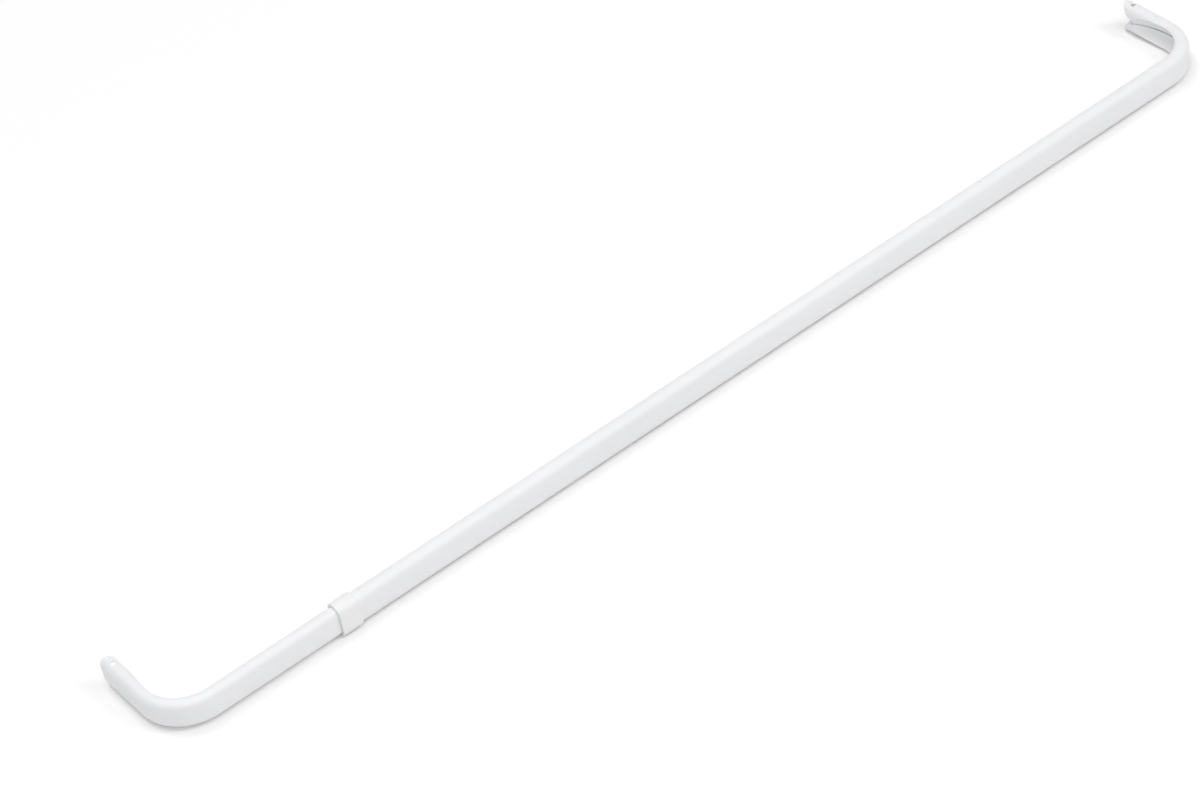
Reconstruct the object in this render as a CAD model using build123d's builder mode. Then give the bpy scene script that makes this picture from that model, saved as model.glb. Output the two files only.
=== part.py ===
"""Extendable curtain rod: two nested rolled-steel sections, each with a bent return."""

import math
import os

from build123d import *

# Driving dimensions in millimetres

# The rod as a whole, pushed together
overall_length = 711.0  # across the outer faces of the two returns
projection = 62.3  # front face of the outer section to the tips of the ears
bend_radius = 24.0  # centre line of both corners
exposed_length = 102.0  # face of the inner section's return to the mouth of the collar

# Outer section
section_height = 17.5
section_depth = 9.5
crown_flat = 0.7  # flat left between the rounded corners at the top and bottom
sheet = 0.4  # thickness of the steel
slot_width = 3.0  # gap between the folded edges along the back
fold_depth = 1.5  # how far the folded edges turn in
fold_radius = 0.6  # outside of the fold

# Fit of the inner section in the outer one
slide_clearance = 0.3
end_gap = 2.0  # free end of the inner section to the outer section's pinch

# Pinch along the inside of the corners, where bending presses the slotted wall in
pinch_depth = 5.6
pinch_radius = 9.0  # across the hollow
pinch_taper = 21.0  # along each leg, from the end of the bend to where the hollow runs out
pinch_slot = 0.6  # gap left between the edges in the hollow
pinch_run_out = 1.3  # how far its axis goes on past the taper, as a share of the taper

# Ends of the returns
ear_offset = 2.0  # centre of the ears' rounding, seen from above, off the centre line to the web
hole_diameter = 3.0  # fixing hole through both ears
hole_inset = 7.0  # centre of the hole to the tip of the ear
lead_depth = 12.0  # tip of the ear to where the flared end of the slot would come to a point
lead_height = 12.0  # of the flared end at the tip

# Moulded collar on the mouth of the outer section
collar_length = 12.0
collar_wall = 1.1  # around the outer section
collar_lip = 1.2  # end wall in front of the outer section's edge
collar_fit = 0.05  # gap to the outer section
mouth_chamfer = 0.4
rear_chamfer = 0.8

# Nesting and placing
nest = sheet + slide_clearance
corner_radius = (section_depth - crown_flat) / 2
inner_height = section_height - 2 * nest
inner_depth = section_depth - 2 * nest
inner_corner_radius = corner_radius - nest
inner_slot_width = slot_width + 2 * nest

collar_grow = collar_fit + collar_wall
rod_z = section_height / 2 + collar_grow
tip_reach = projection - section_depth / 2
rod_y = (section_depth / 2 + collar_grow - tip_reach) / 2
tip_y = rod_y + tip_reach
outer_return_x = overall_length / 2 - section_depth / 2
inner_return_x = inner_depth / 2 - overall_length / 2
collar_x = exposed_length - overall_length / 2
mouth_x = collar_x + collar_lip
inner_end_x = outer_return_x - bend_radius - pinch_taper - end_gap
taper_radius = (pinch_taper**2 + pinch_depth**2) / (2 * pinch_depth)
taper_angle = math.degrees(math.asin(pinch_taper / taper_radius))


def rod_path(start_x, return_x):
    """Centre line from the free end, round the corner, to the tip of the return."""
    with BuildLine(Plane.XY.offset(rod_z)) as path:
        FilletPolyline((start_x, rod_y), (return_x, rod_y), (return_x, tip_y), radius=bend_radius)
    return path.wire()


def cross_plane(x, along):
    """Plane across the rod: local x to the back, normal along +X or -X."""
    return Plane(origin=(x, rod_y, rod_z), x_dir=(0, 1, 0), z_dir=(along, 0, 0))


def rolled_section(plane, height, depth, radius, slot):
    """One strip of sheet, rolled to a flat oval with its edges folded in along the back."""
    top = height / 2
    back = depth / 2
    fold_end = back - fold_depth
    edge = slot / 2
    with BuildSketch(plane) as section:
        with BuildLine():
            FilletPolyline(
                (fold_end, edge),
                (back, edge),
                (back, top),
                (-back, top),
                (-back, -top),
                (back, -top),
                (back, -edge),
                (fold_end, -edge),
                radius=(fold_radius, radius, radius, radius, radius, fold_radius),
            )
            offset(amount=sheet, side=Side.LEFT)
        make_face()
    return section.sketch


def section_blank(plane, height, depth, radius, path):
    """Everything within the middle of the sheet, as a bar without hollow or slot."""
    with BuildPart() as bar:
        with BuildSketch(plane):
            RectangleRounded(depth - sheet, height - sheet, radius - sheet / 2)
        sweep(path=path)
    return bar.part


def pinch_path(return_x, inward, depth):
    """Axis of the hollow: round the inside of the corner, and away from the wall along both legs."""
    side = depth / 2 - pinch_depth + pinch_radius
    radius = bend_radius - side
    centre_x = return_x + inward * bend_radius
    centre_y = rod_y + bend_radius
    rod_end = (centre_x, centre_y - radius)
    middle = (centre_x - inward * radius * math.sqrt(0.5), centre_y - radius * math.sqrt(0.5))
    return_end = (centre_x - inward * radius, centre_y)
    turn = inward * pinch_run_out * taper_angle
    with BuildLine(Plane.XY.offset(rod_z)) as path:
        JernArc(rod_end, (inward, 0), taper_radius, turn)
        ThreePointArc(rod_end, middle, return_end)
        JernArc(return_end, (0, 1), taper_radius, -turn)
    return path.wire()


def round_bar(path, radius):
    """Round bar along a path."""
    with BuildPart() as bar:
        with BuildSketch(Plane(origin=path @ 0, z_dir=path % 0)):
            Circle(radius)
        sweep(path=path)
    return bar.part


def pinch_wall(path, blank):
    """Wall of the hollow, still filled up on its open side."""
    with BuildPart() as wall:
        add(round_bar(path, pinch_radius + sheet))
        add(blank, mode=Mode.INTERSECT)
    return wall.part


def pinch_cut(path):
    """The hollow, and the slot that goes on through its wall."""
    with BuildPart() as cut:
        add(round_bar(path, pinch_radius))
        with BuildSketch(Plane(origin=path @ 0, x_dir=(0, 0, 1), z_dir=path % 0)):
            Rectangle(pinch_slot, 2 * (pinch_radius + 2 * sheet))
        sweep(path=path)
    return cut.part


def end_cuts(return_x, inward, height, depth):
    """What is stamped off the end of a return: round its ears, their holes and the slot's flare."""
    ear_radius = depth / 2 + ear_offset
    ear_x = return_x - inward * ear_offset
    ear_y = tip_y - ear_radius
    with BuildPart() as cuts:
        with BuildSketch(Plane.XY.offset(rod_z)):
            with Locations((ear_x, ear_y + ear_radius)):
                Rectangle(4 * ear_radius, 2 * ear_radius)
            with Locations((ear_x, ear_y)):
                Circle(ear_radius, mode=Mode.SUBTRACT)
        extrude(amount=height, both=True)
        with BuildSketch(Plane.XY.offset(rod_z)):
            with Locations((return_x, tip_y - hole_inset)):
                Circle(hole_diameter / 2)
        extrude(amount=height, both=True)
        with BuildSketch(Plane(origin=(return_x, tip_y, rod_z), x_dir=(0, 1, 0), z_dir=(inward, 0, 0))):
            with BuildLine():
                Polyline((-lead_depth, 0), (0, lead_height / 2), (0, -lead_height / 2), close=True)
            make_face()
        extrude(amount=depth)
    return cuts.part


# Outer section, with its return on the right
outer_plane = cross_plane(mouth_x, 1)
outer_path = rod_path(mouth_x, outer_return_x)
outer_section = rolled_section(outer_plane, section_height, section_depth, corner_radius, slot_width)
outer_blank = section_blank(outer_plane, section_height, section_depth, corner_radius, outer_path)
outer_pinch = pinch_path(outer_return_x, -1, section_depth)
with BuildPart() as outer_rod:
    sweep(outer_section, path=outer_path)
    add(pinch_wall(outer_pinch, outer_blank))
    add(pinch_cut(outer_pinch), mode=Mode.SUBTRACT)
    add(end_cuts(outer_return_x, -1, section_height, section_depth), mode=Mode.SUBTRACT)

# Inner section, with its return on the left
inner_plane = cross_plane(inner_end_x, -1)
inner_path = rod_path(inner_end_x, inner_return_x)
inner_section = rolled_section(inner_plane, inner_height, inner_depth, inner_corner_radius, inner_slot_width)
inner_blank = section_blank(inner_plane, inner_height, inner_depth, inner_corner_radius, inner_path)
inner_pinch = pinch_path(inner_return_x, 1, inner_depth)
with BuildPart() as inner_rod:
    sweep(inner_section, path=inner_path)
    add(pinch_wall(inner_pinch, inner_blank))
    add(pinch_cut(inner_pinch), mode=Mode.SUBTRACT)
    add(end_cuts(inner_return_x, 1, inner_height, inner_depth), mode=Mode.SUBTRACT)

# Collar that covers the step between the two sections
with BuildPart() as collar:
    with BuildSketch(cross_plane(collar_x, 1)):
        RectangleRounded(
            section_depth + 2 * collar_grow, section_height + 2 * collar_grow, corner_radius + collar_grow
        )
    extrude(amount=collar_length)
    chamfer(collar.edges().group_by(Axis.X)[0], mouth_chamfer)
    chamfer(collar.edges().group_by(Axis.X)[-1], rear_chamfer)
    with BuildSketch(cross_plane(mouth_x, 1)):
        RectangleRounded(
            section_depth + 2 * collar_fit, section_height + 2 * collar_fit, corner_radius + collar_fit
        )
    extrude(amount=collar_length, mode=Mode.SUBTRACT)
    with BuildSketch(cross_plane(collar_x, 1)):
        RectangleRounded(
            inner_depth + 2 * slide_clearance,
            inner_height + 2 * slide_clearance,
            inner_corner_radius + slide_clearance,
        )
    extrude(amount=collar_length, mode=Mode.SUBTRACT)

outer_rod.part.label = "outer_rod"
inner_rod.part.label = "inner_rod"
collar.part.label = "collar"

os.makedirs("parts", exist_ok=True)
export_step(outer_rod.part, "parts/outer_rod.step")
export_step(inner_rod.part, "parts/inner_rod.step")
export_step(collar.part, "parts/collar.step")
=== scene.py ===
"""Looks of the extendable curtain rod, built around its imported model."""

import math

import bmesh
import bpy
from mathutils import Matrix, Vector


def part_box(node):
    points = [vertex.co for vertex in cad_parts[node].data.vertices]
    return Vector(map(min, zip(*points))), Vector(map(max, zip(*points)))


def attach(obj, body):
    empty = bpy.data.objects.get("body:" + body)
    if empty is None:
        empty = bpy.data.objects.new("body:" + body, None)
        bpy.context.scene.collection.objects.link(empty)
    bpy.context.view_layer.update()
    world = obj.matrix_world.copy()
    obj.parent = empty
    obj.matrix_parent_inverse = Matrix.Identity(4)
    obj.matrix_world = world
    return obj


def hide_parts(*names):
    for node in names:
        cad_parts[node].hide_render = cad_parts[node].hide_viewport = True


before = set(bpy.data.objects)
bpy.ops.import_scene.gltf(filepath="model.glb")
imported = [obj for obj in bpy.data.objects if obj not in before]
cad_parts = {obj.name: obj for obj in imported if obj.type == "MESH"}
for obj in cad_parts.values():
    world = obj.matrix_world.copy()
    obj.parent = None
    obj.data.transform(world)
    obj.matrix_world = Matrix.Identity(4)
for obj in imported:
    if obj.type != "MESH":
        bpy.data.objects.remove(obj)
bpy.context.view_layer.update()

# The photograph's view: angles in degrees, places in metres
IMAGE_WIDTH = 1200
AZIMUTH = -31.623
ELEVATION = 41.342
ROLL = -10.949
TARGET = Vector((-0.057013, 0.011264, 0.0))
DISTANCE = 1.789681
FOCAL_PIXELS = 3425.0
SENSOR_WIDTH = 36.0  # millimetres

# Light: strengths at which a colour renders about as it is written
WORLD_COLOUR = (1.0, 1.0, 1.0, 1.0)
WORLD_STRENGTH = 0.46

# Lamps: name, place and side in metres, power in watts
LAMPS = (
    ("key", (-0.7, -1.5, 4.0), 3.0, 60.0),
    ("shine", (1.8, -2.2, 3.2), 1.2, 28.0),
    ("back", (-0.3, 1.4, 4.1), 1.8, 42.0),
)

# Floor
FLOOR_SIZE = 24.0  # metres
FLOOR_COLOUR = (0.95, 0.95, 0.95, 1.0)
FLOOR_LIFT = 0.04  # brings the lit floor up to full white where it is seen directly

# Range in which most of a noise texture lies
NOISE_LOW = 0.3
NOISE_HIGH = 0.7

# Paint: two tones, range of roughness, and its relief in metres
ENAMEL_TONES = ((0.854, 0.857, 0.868), (0.874, 0.877, 0.888))
ENAMEL_ROUGHNESS = (0.38, 0.50)
STREAK_FACTORS = (0.15, 6.0, 6.0)  # long along the strip, fine across it
STREAK_HEIGHT = 0.0000025
PEEL_HEIGHT = 0.00007
GRAIN_HEIGHT = 0.0000012

# Plastic: two tones, range of roughness, and its relief in metres
PLASTIC_TONES = ((0.860, 0.862, 0.868), (0.880, 0.882, 0.888))
PLASTIC_ROUGHNESS = (0.30, 0.40)
WAVE_HEIGHT = 0.000008
SATIN_HEIGHT = 0.00001

# Collar, in metres, as in the part's source
COLLAR_LENGTH = 0.012
COLLAR_LIP = 0.0012
COLLAR_FIT = 0.00005  # gap to the outer section
COLLAR_GROW = 0.00115  # from the outer section's outline out to the collar's face
COLLAR_CORNER = 0.00555  # radius of the collar's outline
APERTURE_INSET = 0.0004  # from the outer section's outline in to the collar's aperture

# The collar's edges, in metres, where the source has plain chamfers or sharp edges
MOUTH_ROUNDING = 0.0005
REAR_ROUNDING = 0.0009
APERTURE_CHAMFER = 0.00015
SHARP_ANGLE = 40.0  # degrees from which an edge is shaded as sharp


def add_camera():
    """Camera that looks at the target from the photograph's direction, rolled about its own axis."""
    azimuth = math.radians(AZIMUTH)
    elevation = math.radians(ELEVATION)
    back = Vector(
        (
            math.sin(azimuth) * math.cos(elevation),
            -math.cos(azimuth) * math.cos(elevation),
            math.sin(elevation),
        )
    )
    right = Vector((math.cos(azimuth), math.sin(azimuth), 0.0))
    up = back.cross(right)
    turn = Matrix((right, up, back)).transposed().to_4x4()
    turn = turn @ Matrix.Rotation(math.radians(ROLL), 4, "Z")
    data = bpy.data.cameras.new("camera")
    data.sensor_width = SENSOR_WIDTH
    data.lens = FOCAL_PIXELS * SENSOR_WIDTH / IMAGE_WIDTH
    camera = bpy.data.objects.new("camera", data)
    camera.matrix_world = Matrix.Translation(TARGET + back * DISTANCE) @ turn
    bpy.context.scene.collection.objects.link(camera)
    bpy.context.scene.camera = camera


def add_lamp(name, place, side, power):
    """Square soft lamp aimed at the middle of the rod."""
    data = bpy.data.lights.new(name, "AREA")
    data.energy = power
    data.size = side
    lamp = bpy.data.objects.new(name, data)
    lamp.location = place
    lamp.rotation_euler = (-Vector(place)).to_track_quat("-Z", "Y").to_euler()
    bpy.context.scene.collection.objects.link(lamp)


def add_lights():
    """Even light from all round, a wide key high in front, one lamp for the shine and one behind."""
    world = bpy.data.worlds.new("world")
    bpy.context.scene.world = world
    world.use_nodes = True
    background = world.node_tree.nodes["Background"]
    background.inputs["Color"].default_value = WORLD_COLOUR
    background.inputs["Strength"].default_value = WORLD_STRENGTH
    for name, place, side, power in LAMPS:
        add_lamp(name, place, side, power)


def floor_material():
    """Matt white, with a little light of its own for camera, glossy and transmission rays."""
    material = bpy.data.materials.new("floor")
    material.use_nodes = True
    nodes = material.node_tree.nodes
    links = material.node_tree.links
    nodes.clear()
    output = nodes.new("ShaderNodeOutputMaterial")
    both = nodes.new("ShaderNodeAddShader")
    matt = nodes.new("ShaderNodeBsdfDiffuse")
    matt.inputs["Color"].default_value = FLOOR_COLOUR
    lift = nodes.new("ShaderNodeEmission")
    path = nodes.new("ShaderNodeLightPath")
    seen = path.outputs["Is Camera Ray"]
    for kind in ("Is Glossy Ray", "Is Transmission Ray"):
        either = nodes.new("ShaderNodeMath")
        either.operation = "MAXIMUM"
        links.new(seen, either.inputs[0])
        links.new(path.outputs[kind], either.inputs[1])
        seen = either.outputs[0]
    level = nodes.new("ShaderNodeMath")
    level.operation = "MULTIPLY"
    level.inputs[1].default_value = FLOOR_LIFT
    links.new(seen, level.inputs[0])
    links.new(level.outputs[0], lift.inputs["Strength"])
    links.new(matt.outputs[0], both.inputs[0])
    links.new(lift.outputs[0], both.inputs[1])
    links.new(both.outputs[0], output.inputs["Surface"])
    return material


def add_floor():
    """White floor that the rod lies on and that takes its shadow."""
    bpy.ops.mesh.primitive_plane_add(size=FLOOR_SIZE, location=(0.0, 0.0, 0.0))
    floor = bpy.context.object
    floor.name = "floor"
    floor.data.materials.append(floor_material())


class Finish:
    """A principled material whose colour, roughness and relief come from procedural textures."""

    def __init__(self, name):
        self.material = bpy.data.materials.new(name)
        self.material.use_nodes = True
        self.nodes = self.material.node_tree.nodes
        self.links = self.material.node_tree.links
        self.shader = self.nodes["Principled BSDF"]
        self.place = self.nodes.new("ShaderNodeTexCoord").outputs["Object"]

    def noise(self, per_metre, detail, factors=(1.0, 1.0, 1.0)):
        """Noise with so many features to the metre, times a factor along each axis."""
        mapping = self.nodes.new("ShaderNodeMapping")
        mapping.inputs["Scale"].default_value = factors
        texture = self.nodes.new("ShaderNodeTexNoise")
        texture.inputs["Scale"].default_value = per_metre
        texture.inputs["Detail"].default_value = detail
        self.links.new(self.place, mapping.inputs["Vector"])
        self.links.new(mapping.outputs["Vector"], texture.inputs["Vector"])
        return texture.outputs["Fac"]

    def spread(self, value, low, high):
        """Noise spread over a range."""
        node = self.nodes.new("ShaderNodeMapRange")
        node.inputs["From Min"].default_value = NOISE_LOW
        node.inputs["From Max"].default_value = NOISE_HIGH
        node.inputs["To Min"].default_value = low
        node.inputs["To Max"].default_value = high
        self.links.new(value, node.inputs["Value"])
        return node.outputs["Result"]

    def colours(self, value, one, other):
        """Colour that goes from one tone to another with the noise."""
        mix = self.nodes.new("ShaderNodeMix")
        mix.data_type = "RGBA"
        mix.inputs["A"].default_value = (*one, 1.0)
        mix.inputs["B"].default_value = (*other, 1.0)
        self.links.new(self.spread(value, 0.0, 1.0), mix.inputs["Factor"])
        self.links.new(mix.outputs["Result"], self.shader.inputs["Base Color"])

    def roughness(self, value, low, high):
        """Roughness that goes from low to high with the noise."""
        self.links.new(self.spread(value, low, high), self.shader.inputs["Roughness"])

    def relief(self, *layers):
        """Bumps laid over each other, each as (noise, height in metres)."""
        last = None
        for value, height in layers:
            bump = self.nodes.new("ShaderNodeBump")
            bump.inputs["Strength"].default_value = 1.0
            bump.inputs["Distance"].default_value = height
            self.links.new(value, bump.inputs["Height"])
            if last:
                self.links.new(last, bump.inputs["Normal"])
            last = bump.outputs["Normal"]
        self.links.new(last, self.shader.inputs["Normal"])


def white_enamel():
    """Baked white paint on rolled steel: slight orange peel over faint lines along the strip."""
    finish = Finish("white_enamel")
    finish.colours(finish.noise(per_metre=18.0, detail=3.0), *ENAMEL_TONES)
    finish.roughness(finish.noise(per_metre=90.0, detail=4.0), *ENAMEL_ROUGHNESS)
    finish.relief(
        (finish.noise(per_metre=60.0, detail=2.0, factors=STREAK_FACTORS), STREAK_HEIGHT),
        (finish.noise(per_metre=900.0, detail=2.0), PEEL_HEIGHT),
        (finish.noise(per_metre=4200.0, detail=1.0), GRAIN_HEIGHT),
    )
    return finish.material


def white_plastic():
    """Moulded white plastic with a fine satin texture."""
    finish = Finish("white_plastic")
    finish.colours(finish.noise(per_metre=120.0, detail=3.0), *PLASTIC_TONES)
    finish.roughness(finish.noise(per_metre=260.0, detail=3.0), *PLASTIC_ROUGHNESS)
    finish.relief(
        (finish.noise(per_metre=300.0, detail=2.0), WAVE_HEIGHT),
        (finish.noise(per_metre=3600.0, detail=2.0), SATIN_HEIGHT),
    )
    return finish.material


def oval(half_depth, half_height, radius, steps=10):
    """Points round a rectangle with rounded corners, as (depth, height) from its middle."""
    points = []
    for quarter, (side, top) in enumerate(((1, 1), (-1, 1), (-1, -1), (1, -1))):
        for step in range(steps + 1):
            angle = math.radians(90.0 * (quarter + step / steps))
            points.append(
                (
                    side * (half_depth - radius) + radius * math.cos(angle),
                    top * (half_height - radius) + radius * math.sin(angle),
                )
            )
    return points


def rounding(along, inset, radius, start, steps=6):
    """Quarter circle in the collar's profile about (along, inset), from an angle in degrees."""
    arc = []
    for step in range(steps + 1):
        angle = math.radians(start + 90.0 * step / steps)
        arc.append((along + radius * math.cos(angle), inset - radius * math.sin(angle)))
    return arc


def collar_profile():
    """The collar's wall as (distance from its mouth, inset from its outer face), once round."""
    pocket = COLLAR_GROW - COLLAR_FIT
    aperture = COLLAR_GROW + APERTURE_INSET
    profile = rounding(COLLAR_LENGTH - REAR_ROUNDING, REAR_ROUNDING, REAR_ROUNDING, 0.0)
    profile += rounding(MOUTH_ROUNDING, MOUTH_ROUNDING, MOUTH_ROUNDING, 90.0)
    profile += [
        (0.0, aperture - APERTURE_CHAMFER),
        (APERTURE_CHAMFER, aperture),
        (COLLAR_LIP, aperture),
        (COLLAR_LIP, pocket),
        (COLLAR_LENGTH, pocket),
    ]
    return profile


def add_collar(material):
    """Moulded collar with rounded edges, in the place of the chamfered solid."""
    low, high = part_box("collar")
    middle = (low + high) / 2
    half_depth = (high.y - low.y) / 2
    half_height = (high.z - low.z) / 2
    mesh = bmesh.new()
    rings = []
    for along, inset in collar_profile():
        ring = oval(half_depth - inset, half_height - inset, COLLAR_CORNER - inset)
        rings.append([mesh.verts.new((low.x + along, middle.y + y, middle.z + z)) for y, z in ring])
    for index, ring in enumerate(rings):
        following = rings[(index + 1) % len(rings)]
        for point in range(len(ring)):
            after = (point + 1) % len(ring)
            mesh.faces.new((ring[point], ring[after], following[after], following[point]))
    bmesh.ops.recalc_face_normals(mesh, faces=mesh.faces)
    data = bpy.data.meshes.new("collar_moulded")
    mesh.to_mesh(data)
    mesh.free()
    data.shade_smooth()
    data.set_sharp_from_angle(angle=math.radians(SHARP_ANGLE))
    data.materials.append(material)
    piece = bpy.data.objects.new("collar_moulded", data)
    bpy.context.scene.collection.objects.link(piece)
    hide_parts("collar")
    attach(piece, "outer")


add_camera()
add_floor()
add_lights()
enamel = white_enamel()
for name in ("outer_rod", "inner_rod"):
    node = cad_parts[name]
    node.data.materials.clear()
    node.data.materials.append(enamel)
add_collar(white_plastic())

bpy.context.scene.view_settings.view_transform = "Standard"
